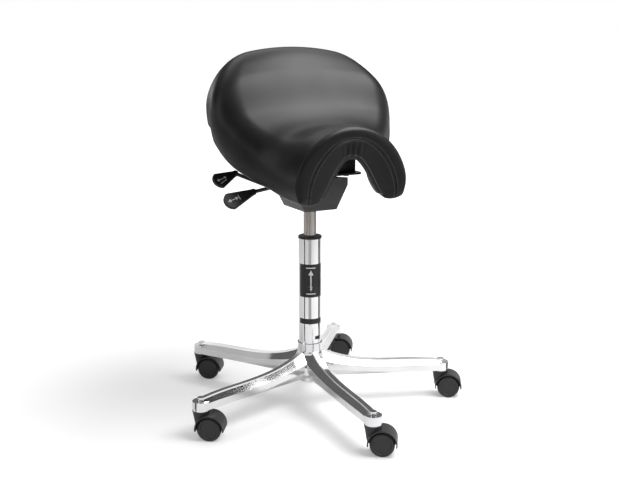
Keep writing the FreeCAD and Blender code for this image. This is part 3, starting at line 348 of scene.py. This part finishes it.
nodeFinish = {
    "star_base": "castAluminium", "column_tube": "chromedTube", "guide_sleeve": "blackMoulded",
    "piston_rod": "plainSteel", "thrust_bearing": "plainSteel", "rod_clip": "plainSteel",
    "gas_cylinder": "warmSteel", "cylinder_gland": "blackMoulded", "release_button": "plainSteel",
    "mechanism_pan": "greyLacquer", "taper_socket": "plainSteel", "tilt_pivot_pin": "plainSteel",
    "pivot_spacers": "blackMoulded", "pivot_clips": "plainSteel", "clamp_washers": "plainSteel",
    "lever_bracket": "greyLacquer", "lever_pin": "plainSteel", "clamp_nut": "plainSteel",
    "height_lever_rod": "blackLacquer", "height_lever_paddle": "blackMoulded",
    "tilt_lever_rod": "blackLacquer", "tilt_lever_paddle": "blackMoulded",
    "tilt_bracket": "greyLacquer", "seat_plate": "blackLacquer", "saddle_block": "stainedWood",
    "seat_shell": "blackMoulded", "seat_bolts": "plainSteel", "bolt_washers": "plainSteel",
}
castorFinish = {"hood": "castorNylon", "stem": "plainSteel", "axle": "plainSteel",
                "wheel_left": "castorNylon", "wheel_right": "castorNylon"}
for number in range(1, 6):
    for piece, name in castorFinish.items():
        nodeFinish["castor_%d_%s" % (number, piece)] = name


def dressNodes():
    for node, name in nodeFinish.items():
        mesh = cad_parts[node].data
        mesh.materials.clear()
        mesh.materials.append(finish[name])


dressNodes()
print("finishes made and set on", len(nodeFinish), "nodes")


# saddle seat

saddle = {
    # each row, nose to tail, in mm and degrees: crown forward and height, hem forward and
    # height, half width, height of the widest point, half width at the hem, splay, fullness,
    # padding at the crown, side and hem, inner splay
    "rows": [
        (177, 631, 176, 485, 124, 54, 117, 17, 0.47, 58, 76, 41, 28),
        (149, 633, 139, 488, 128, 52, 122, 15, 0.47, 58, 66, 35, 20),
        (81, 626, 70, 510, 150, 51, 144, 9, 0.55, 56, 47, 28, 9),
        (31, 657, 9, 536, 188, 63, 177, 3, 0.65, 54, 42, 27, 2),
        (-24, 739, -51, 575, 209, 79, 192, 0, 0.75, 58, 42, 27, 0),
        (-80, 781, -90, 587, 192, 75, 185, 0, 0.78, 62, 42, 27, 0),
        (-169, 734, -133, 591, 175, 61, 167, 0, 0.75, 56, 42, 27, 0),
        (-217, 643, -166, 603, 159, 17, 150, 0, 0.7, 26, 30, 24, 0),
    ],
    "rowsAlong": 110,
    "pointsOver": 150,        # hem to hem over the crown
    "pointsHem": 10,          # round each hem's roll
    "capRows": 26,
    "hemRoll": 12.0,          # mm that the roll hangs under the skin's edge
    "skinStop": 0.96,         # how far down the hem arc the flat skin goes
    "crownEnd": 0.42,         # where over the arch the crown arc ends
    "sideAt": 0.75,           # where over the arch the seat is widest
    "widestFall": 0.25,       # share by which the padding's back is widest lower down
    "capPull": 0.06,          # share by which a cap's loops draw in from the hems
    "noseRise": 14.0,         # mm that the front stands ahead of the first row
    "noseRoll": 0.40,         # share of the padding that the front roll takes
    "backRoll": 0.2,          # share for the roll at the padding's back
    "panelFall": 12.0,        # mm that the facing panel leans back to its inner edge
    "tailRise": 8.0,
    "seamDepth": 0.42,        # share of the padding where the facing is sewn to the roll
    "seamWidth": 1.3,         # where the facing's inner edge runs, marked by a painted highlight line
    "archLength": 430.0,      # hem to hem at the seam
    "stitchOffset": 3.4,
    "stitchPitch": 4.2,
    "threadWidth": 0.55,
    "pleatSpacing": 12.0,
    "pleatReach": 0.27,       # in v, each side of the crown
    "pleatDepth": 4.6,
    "pleatSharpness": 0.6,
    "pleatFade": 6.0,         # how quickly the pleats start below the seam
    "edgeDepth": 0.97,        # where the facing's bound inner edge runs
    "farGap": 50.0,           # mm from the seam that is written away from the nose
    "mergeGap": 0.05,
}


# Rows spread evenly along the seat, on cubics through the given ones.
#
# The parameter runs by the mean step of crown and hem. A row's slope is its
# neighbours' two slopes, weighted by the other gap.
def smoothRows(rows, count):
    rows = np.array(rows, float)
    step = np.diff(rows, axis=0)
    gap = (np.hypot(step[:, 0], step[:, 1]) + np.hypot(step[:, 2], step[:, 3])) / 2
    along = np.concatenate([[0], np.cumsum(gap)])
    slope = step / gap[:, None]
    inner = (gap[1:, None] * slope[:-1] + gap[:-1, None] * slope[1:]) / (gap[:-1] + gap[1:])[:, None]
    tangent = np.vstack([slope[:1], inner, slope[-1:]])
    place = np.linspace(0, along[-1], count)
    left = np.clip(np.searchsorted(along, place, side="right") - 1, 0, len(gap) - 1)
    t = ((place - along[left]) / gap[left])[:, None]
    h = gap[left][:, None]
    return ((2 * t ** 3 - 3 * t ** 2 + 1) * rows[left] + (t ** 3 - 2 * t ** 2 + t) * h * tangent[left]
            + (3 * t ** 2 - 2 * t ** 3) * rows[left + 1] + (t ** 3 - t ** 2) * h * tangent[left + 1])


# Points at shares of the arc that leaves start on a heading and ends at end.
#
# All are arrays: the arc's turn is twice the angle from heading to chord, and the
# point at share s lies at the chord-long sine of that part of the turn.
def arcPoints(start, heading, end, share):
    chord = end - start
    length = np.hypot(chord[..., 0], chord[..., 1])
    lean = np.arctan2(heading[..., 0] * chord[..., 1] - heading[..., 1] * chord[..., 0],
                      heading[..., 0] * chord[..., 0] + heading[..., 1] * chord[..., 1])
    safe = np.where(np.abs(lean) < 1e-5, 1e-5, lean)
    reach = length * np.sin(safe * share) / np.sin(safe)
    base = np.arctan2(heading[..., 1], heading[..., 0])
    angle = base + safe * share
    leaving = base + 2 * lean
    points = start + np.stack([reach * np.cos(angle), reach * np.sin(angle)], -1)
    return points, np.stack([np.cos(leaving), np.sin(leaving)], -1)


# Points of the saddle's padding for row values, v over the arch and depth d.
#
# v runs from -1 at the right hem over 0 at the crown to 1 at the left hem, d from
# 0 on the skin to 1 at the padding's back. Half an arch is three arcs, crown,
# shoulder and hem; the first two share a tangent, and fullness sets the length
# of the shoulder's tangent as a share of its drop.
def saddlePoints(rows, v, d, s):
    (crownY, crownZ, hemY, hemZ, halfWidth, widest, hemWidth, splay, fullness,
     crownPad, sidePad, hemPad, innerSplay) = np.moveaxis(rows, -1, 0)
    rise = np.hypot(crownY - hemY, crownZ - hemZ)
    top = rise - d * crownPad
    wide = halfWidth - d * sidePad
    low = widest * (1 - s["widestFall"] * d)
    foot = hemWidth - d * hemPad
    lean = np.radians(splay + d * (innerSplay - splay))
    crown = np.stack([0 * top, top], -1)
    side = np.stack([wide, low], -1)
    hem = np.stack([foot, 0 * foot], -1)
    level = np.stack([1 + 0 * top, 0 * top], -1)
    down = np.stack([np.sin(lean), -np.cos(lean)], -1)
    drop = fullness * (top - low)
    reach = side - crown
    first = (reach ** 2).sum(-1) / 2 - drop * (reach * down).sum(-1)
    first = first / (reach[..., 0] - drop * down[..., 0] + drop)
    corner = crown + level * first[..., None]
    last = side - down * drop[..., None]
    joint = corner + (last - corner) * (first / (first + drop))[..., None]
    away = np.abs(v)
    crownEnd, sideAt = s["crownEnd"], s["sideAt"]
    onShoulder = np.clip((away - crownEnd) / (sideAt - crownEnd), 0, 1)
    onHem = np.clip((away - sideAt) / (1 - sideAt), 0, 1)
    crownPart, heading = arcPoints(crown, level, joint, np.clip(away / crownEnd, 0, 1))
    shoulderPart, _ = arcPoints(joint, heading, side, onShoulder)
    hemPart, _ = arcPoints(side, down, hem, onHem)
    flat = np.where((away < sideAt)[..., None], shoulderPart, hemPart)
    flat = np.where((away < crownEnd)[..., None], crownPart, flat)
    upY, upZ = (hemY - crownY) / rise, (crownZ - hemZ) / rise
    x = np.sign(v) * flat[..., 0]
    y = -hemY + flat[..., 1] * upY
    z = hemZ + flat[..., 1] * upZ
    return np.stack([x, y, z], -1), np.stack([0 * upY, upY, upZ], -1)


# One way round the padding: skin, left hem, back, right hem, as v, d and hem drop.
def loopCourse(s):
    stop = s["skinStop"]
    over = np.linspace(-stop, stop, s["pointsOver"])
    roll = np.linspace(0, np.pi, s["pointsHem"] + 2)[1:-1]
    v = np.concatenate([over, 0 * roll + stop, over[::-1], 0 * roll - stop])
    d = np.concatenate([0 * over, (1 - np.cos(roll)) / 2, 0 * over + 1, (1 + np.cos(roll)) / 2])
    drop = np.concatenate([0 * over, np.sin(roll), 0 * over, np.sin(roll)])
    return v, d, drop


# Height of a quarter circle at a share of its radius, 1 beyond it.
def quarterRound(share):
    share = np.clip(share, 0, 1)
    return np.sqrt(1 - (1 - share) ** 2)


# The padding as one closed grid of loops, from the nose cap to the tail cap.
#
# Body loops follow the rows. A cap's loops shrink evenly to the padding's middle
# line while they move out along the seat by a quarter round, so the front is a
# roll with a facing panel inside it.
def saddleGrid(s):
    rows = smoothRows(s["rows"], s["rowsAlong"])
    v, d, drop = loopCourse(s)
    share = np.linspace(0, 1, s["capRows"] + 1)[1:]
    inset = 1 - np.cos(share * np.pi / 2)
    count = len(inset)
    rowSet = np.concatenate([np.repeat(rows[:1], count, 0), rows, np.repeat(rows[-1:], count, 0)])
    insets = np.concatenate([inset[::-1], np.zeros(len(rows)), inset])[:, None]
    noseOut = np.concatenate([np.ones(count), np.zeros(len(rows) + count)])[:, None]
    tailOut = noseOut[::-1]
    depth = 0.5 + (d - 0.5) * (1 - insets)
    over = v * (1 - insets * s["capPull"])
    points, up = saddlePoints(rowSet[:, None, :], over, depth, s)
    points = points - up * (drop * s["hemRoll"] * (1 - insets))[..., None]
    outer = np.where(d < 0.5, s["noseRoll"] * 2, s["backRoll"])
    rise = quarterRound(insets / outer)
    ahead = noseOut * (s["noseRise"] * rise - s["panelFall"] * depth * rise)
    wave = np.abs(np.sin(points[..., 0] * np.pi / s["pleatSpacing"]))
    fold = 1 - wave ** s["pleatSharpness"]
    window = (np.clip(1.2 - np.abs(over) / s["pleatReach"], 0, 1)
              * np.clip((depth - s["seamDepth"]) * s["pleatFade"], 0, 1))
    points[..., 1] -= ahead - noseOut * s["pleatDepth"] * fold * window
    onNose = noseOut * (insets > 0) * np.ones_like(depth)
    back = tailOut * s["tailRise"] * quarterRound(insets)
    normal = np.cross([1.0, 0.0, 0.0], up)
    points = points + back[..., None] * np.where(normal[..., 1:2] < 0, -normal, normal)
    return points, over, depth, onNose


# Quads between neighbouring loops. Each cap's last loop lies on its middle line.
def gridFaces(rowCount, loopCount):
    i, j = np.meshgrid(np.arange(rowCount - 1), np.arange(loopCount), indexing="ij")
    k = (j + 1) % loopCount
    here, ahead = i * loopCount, (i + 1) * loopCount
    return np.stack([here + j, here + k, ahead + k, ahead + j], -1).reshape(-1, 4)


def meshFrom(name, points, faces, smooth=True):
    mesh = bpy.data.meshes.new(name)
    mesh.vertices.add(len(points))
    mesh.vertices.foreach_set("co", np.asarray(points, np.float32).ravel())
    mesh.loops.add(faces.size)
    mesh.loops.foreach_set("vertex_index", faces.astype(np.int32).ravel())
    mesh.polygons.add(len(faces))
    starts = np.arange(0, faces.size, faces.shape[1], dtype=np.int32)
    mesh.polygons.foreach_set("loop_start", starts)
    mesh.polygons.foreach_set("use_smooth", np.full(len(faces), smooth))
    mesh.update(calc_edges=True)
    obj = bpy.data.objects.new(name, mesh)
    bpy.context.scene.collection.objects.link(obj)
    return obj


vinyl = {
    "dark": (0.0042, 0.0042, 0.0046),
    "light": (0.0066, 0.0066, 0.0071),
    # thread colour, also used for the painted highlight line along the facing's inner edge
    "thread": (0.075, 0.075, 0.076),
    "mottle": 14.0,           # patches per metre
    "rough": (0.35, 0.41),
    "gloss": 0.30,
    "grain": 850.0,           # cells per metre
    "grainDepth": 0.05,       # mm
    "wave": 35.0,             # slow unevenness of the foam, per metre
    "waveDepth": 0.25,
    "seamRelief": 1.6,
    "threadRelief": 0.4,      # share of the seam's
    "dash": 0.72,             # share of a stitch's pitch that shows
    # mm from the facing's inner edge over which the painted highlight line fades out
    "edgeHighlightBand": (0.5, 1.1),
}


# Black upholstery vinyl: soft gloss and fine grain, a double-stitched facing seam, and a painted
# highlight line along the facing's inner edge.
#
# The mesh carries seamGap, the distance from the seam in mm, and seamRun, the
# way along it; the groove and the two thread rows come from these.
def seatVinyl(s, look):
    material, nodes, links, bsdf = startMaterial("seatVinyl")
    point = objectPoint(nodes, links)
    gap = nodes.new("ShaderNodeAttribute")
    gap.attribute_name = "seamGap"
    along = nodes.new("ShaderNodeAttribute")
    along.attribute_name = "seamRun"
    far = mathNode(nodes, links, "ABSOLUTE", gap.outputs["Fac"], 0)
    groove = mapRange(nodes, links, far, 0.3, s["seamWidth"], 0, 1)
    offset = mathNode(nodes, links, "SUBTRACT", far, s["stitchOffset"])
    fromRow = mathNode(nodes, links, "ABSOLUTE", offset, 0)
    row = mapRange(nodes, links, fromRow, s["threadWidth"] * 0.6, s["threadWidth"], 1, 0)
    stitches = mathNode(nodes, links, "DIVIDE", along.outputs["Fac"], s["stitchPitch"])
    beat = mathNode(nodes, links, "FRACT", stitches, 0)
    dash = mathNode(nodes, links, "LESS_THAN", beat, look["dash"])
    thread = mathNode(nodes, links, "MULTIPLY", row, dash)
    # painted highlight: a light line in the thread colour along the facing's inner edge, where the skin
    # rolls under
    edge = nodes.new("ShaderNodeAttribute")
    edge.attribute_name = "edgeGap"
    fromEdge = mathNode(nodes, links, "ABSOLUTE", edge.outputs["Fac"], 0)
    edgeHighlight = mapRange(nodes, links, fromEdge, *look["edgeHighlightBand"], 1, 0)
    mottle = noise(nodes, links, point, look["mottle"], 3.0)
    skin = shade(nodes, links, spread(nodes, links, mottle, 0, 1), look["dark"], look["light"])
    threadAndHighlight = nodes.new("ShaderNodeMix")
    threadAndHighlight.data_type = "RGBA"
    links.new(mathNode(nodes, links, "MAXIMUM", thread, edgeHighlight), threadAndHighlight.inputs["Factor"])
    links.new(skin, threadAndHighlight.inputs["A"])
    threadAndHighlight.inputs["B"].default_value = (*look["thread"], 1)
    links.new(threadAndHighlight.outputs["Result"], bsdf.inputs["Base Color"])
    links.new(spread(nodes, links, mottle, *look["rough"]), bsdf.inputs["Roughness"])
    bsdf.inputs["Specular IOR Level"].default_value = look["gloss"]
    cells = nodes.new("ShaderNodeTexVoronoi")
    cells.inputs["Scale"].default_value = look["grain"]
    links.new(point, cells.inputs["Vector"])
    grain = bump(nodes, links, cells.outputs["Distance"], 0.25, look["grainDepth"] * mm)
    wave = noise(nodes, links, point, look["wave"], 2.0)
    soft = bump(nodes, links, wave, 0.3, look["waveDepth"] * mm, grain)
    raised = mathNode(nodes, links, "MULTIPLY", thread, look["threadRelief"])
    relief = mathNode(nodes, links, "ADD", groove, raised)
    links.new(bump(nodes, links, relief, 1.0, look["seamRelief"] * mm, soft), bsdf.inputs["Normal"])
    return material


def setAttribute(mesh, name, values):
    attribute = mesh.attributes.new(name, "FLOAT", "POINT")
    attribute.data.foreach_set("value", np.asarray(values, np.float32).ravel())


def makeSaddle(s):
    points, over, depth, onNose = saddleGrid(s)
    rowCount, loopCount = points.shape[:2]
    seat = meshFrom("saddle_cushion", points.reshape(-1, 3) * mm, gridFaces(rowCount, loopCount))
    crown = s["pointsOver"] // 2
    crownBack = s["pointsOver"] + s["pointsHem"] + crown - 1
    padWidth = np.linalg.norm(points[s["capRows"], crown] - points[s["capRows"], crownBack])
    for name, line in (("seamGap", "seamDepth"), ("edgeGap", "edgeDepth")):
        gap = np.where(onNose > 0, (depth - s[line]) * padWidth, s["farGap"])
        setAttribute(seat.data, name, gap)
    setAttribute(seat.data, "seamRun", over * s["archLength"] / 2)
    work = bmesh.new()
    work.from_mesh(seat.data)
    bmesh.ops.remove_doubles(work, verts=work.verts, dist=s["mergeGap"] * mm)
    bmesh.ops.recalc_face_normals(work, faces=work.faces)
    work.to_mesh(seat.data)
    work.free()
    seat.data.materials.append(seatVinyl(s, vinyl))
    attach(seat, "seat")
    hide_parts("seat_cushion")
    return seat


seat = makeSaddle(saddle)
print("saddle made:", len(seat.data.polygons), "faces")


# printed marks: the column's label and the levers' signs

prints = {
    "clearance": 0.00002,     # metres above what it lies on
    "thickness": 0.0001,
}

label = {
    "column": 0.025,          # radius
    "low": 0.247,
    "high": 0.321,
    "start": -178.0,          # degrees about the column, from +X
    "stop": -48.0,
    "stripeLow": 0.186,
    "stripeHigh": 0.198,
    "tabLow": 0.150,
    "tabHigh": 0.158,
    "tabStart": -90.0,
    "tabStop": -56.0,
    "stem": 3.4,              # half widths in degrees
    "head": 13.0,
    "bar": 24.0,
    "tip": 0.3,
    "tall": 0.024,            # metres from the arrow's middle to a tip
    "headLength": 0.011,
    "stemShort": 0.010,
    "barGap": 0.005,
    "barHalf": 0.0012,
}


# Ink or film with a faint unevenness.
def printInk(name, colour, roughness):
    material, nodes, links, bsdf = startMaterial(name)
    point = objectPoint(nodes, links)
    mottle = noise(nodes, links, point, 300.0, 2.0)
    low = tuple(c * 0.9 for c in colour)
    ink = shade(nodes, links, spread(nodes, links, mottle, 0, 1), low, colour)
    links.new(ink, bsdf.inputs["Base Color"])
    links.new(spread(nodes, links, mottle, roughness, roughness + 0.08), bsdf.inputs["Roughness"])
    return material


# A bilinear grid between four corners, given round the patch.
def patchGrid(corners, across, along):
    a, b, c, d = [np.array(corner, float) for corner in corners]
    shares = np.linspace(0, 1, across + 1), np.linspace(0, 1, along + 1)
    u, v = np.stack(np.meshgrid(*shares, indexing="ij"))[..., None]
    grid = (1 - u) * (1 - v) * a + u * (1 - v) * b + u * v * c + (1 - u) * v * d
    return grid.reshape(-1, 2)


# Flat patches laid on a surface by place(x, y), then given a thickness.
def makeMark(name, patches, place, material, body, across=12, along=2):
    points, faces = [], []
    i, j = np.meshgrid(np.arange(across), np.arange(along), indexing="ij")
    first = i * (along + 1) + j
    quads = np.stack([first, first + along + 1, first + along + 2, first + 1], -1).reshape(-1, 4)
    for corners in patches:
        faces.append(quads + len(points) * (across + 1) * (along + 1))
        points.append(place(patchGrid(corners, across, along)))
    mark = meshFrom(name, np.concatenate(points), np.concatenate(faces), smooth=False)
    work = bmesh.new()
    work.from_mesh(mark.data)
    bmesh.ops.remove_doubles(work, verts=work.verts, dist=0.001 * mm)
    work.to_mesh(mark.data)
    work.free()
    wall = mark.modifiers.new("thickness", "SOLIDIFY")
    wall.thickness = prints["thickness"]
    wall.offset = 1
    mark.data.materials.append(material)
    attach(mark, body)
    return mark


# Lays (degrees, height) points on the column.
def onColumn(radius):
    def place(p):
        turn = np.radians(p[:, 0])
        return np.stack([radius * np.cos(turn), radius * np.sin(turn), p[:, 1]], -1)
    return place


def box2d(left, right, low, high):
    return [(left, low), (right, low), (right, high), (left, high)]


# Black film with a white double arrow between two bars, a stripe and a small tab below it.
def makeLabel(s):
    black = printInk("labelBlack", (0.010, 0.010, 0.010), 0.30)
    white = printInk("labelWhite", (0.80, 0.80, 0.80), 0.35)
    skin = s["column"] + prints["clearance"]
    film = [box2d(s["start"], s["stop"], s["low"], s["high"]),
            box2d(s["start"], s["stop"], s["stripeLow"], s["stripeHigh"]),
            box2d(s["tabStart"], s["tabStop"], s["tabLow"], s["tabHigh"])]
    makeMark("label_film", film, onColumn(skin), black, "base", across=40)
    middle = (s["start"] + s["stop"]) / 2
    centre = (s["low"] + s["high"]) / 2
    straight = s["tall"] - s["stemShort"]
    arrow = [box2d(middle - s["stem"], middle + s["stem"], centre - straight, centre + straight)]
    for side in (-1, 1):
        tip = centre + side * s["tall"]
        root = centre + side * (s["tall"] - s["headLength"])
        arrow.append([(middle - s["head"], root), (middle + s["head"], root),
                      (middle + s["tip"], tip), (middle - s["tip"], tip)])
        bar = centre + side * (s["tall"] + s["barGap"])
        arrow.append(box2d(middle - s["bar"], middle + s["bar"], bar - s["barHalf"], bar + s["barHalf"]))
    makeMark("label_sign", arrow, onColumn(skin + prints["thickness"]), white, "base")


levers = {
    # grip and tip of each paddle, in metres, as the levers are made
    "height_lever": ((-0.137, -0.008, 0.4878), (-0.205, -0.016, 0.4693)),
    "tilt_lever": ((-0.134, 0.092, 0.5135), (-0.190, 0.076, 0.4985)),
}
paddle = {
    "faceTilt": 42.0,         # degrees
    "thickness": 0.008,
    "bigRadius": 0.020,
    "signScale": 0.00115,     # metres for one step of the shapes below
}

signShapes = {
    # patches by their corners, along the paddle and across it
    "height_lever": [
        [(-6.5, -0.8), (6.5, -0.8), (6.5, 0.8), (-6.5, 0.8)],
        [(-10.5, -0.3), (-10.5, 0.3), (-5.0, 3.6), (-5.0, -3.6)],
        [(5.0, -3.6), (5.0, 3.6), (10.5, 0.3), (10.5, -0.3)],
        [(-13.0, -5), (-11.6, -5), (-11.6, 5), (-13.0, 5)],
    ],
    "tilt_lever": [
        [(-6.5, -0.8), (6.5, -0.8), (6.5, 0.8), (-6.5, 0.8)],
        [(-8.5, 4.4), (8.5, 7.4), (8.5, 8.8), (-8.5, 5.8)],
        [(-11.0, -0.3), (-11.0, 0.3), (-6.5, 3.2), (-6.5, -3.2)],
        [(6.5, -3.2), (6.5, 3.2), (11.0, 0.3), (11.0, -0.3)],
    ],
}


# Lays (along, across) points in mm on a paddle's upper face, from its round end's centre.
def onPaddle(grip, tip, s):
    along = np.array(tip) - np.array(grip)
    length = np.linalg.norm(along)
    along = along / length
    tilt = math.radians(s["faceTilt"])
    normal = np.array([0, -math.cos(tilt), math.sin(tilt)])
    normal = normal - along * normal.dot(along)
    normal = normal / np.linalg.norm(normal)
    side = np.cross(normal, along)
    above = s["thickness"] / 2 + prints["clearance"]
    start = np.array(grip) + along * (length - s["bigRadius"]) + normal * above

    def place(p):
        return start + p[:, :1] * s["signScale"] * along + p[:, 1:] * s["signScale"] * side
    return place


# Plain arrows: up and down on the height lever, a rocking seat line on the tilt lever.
def makeSigns(s):
    white = printInk("signWhite", (0.70, 0.70, 0.70), 0.45)
    for name, (grip, tip) in levers.items():
        place = onPaddle(grip, tip, s)
        makeMark(name + "_sign", signShapes[name], place, white, name, across=2)


makeLabel(label)
makeSigns(paddle)
print("label and signs made")
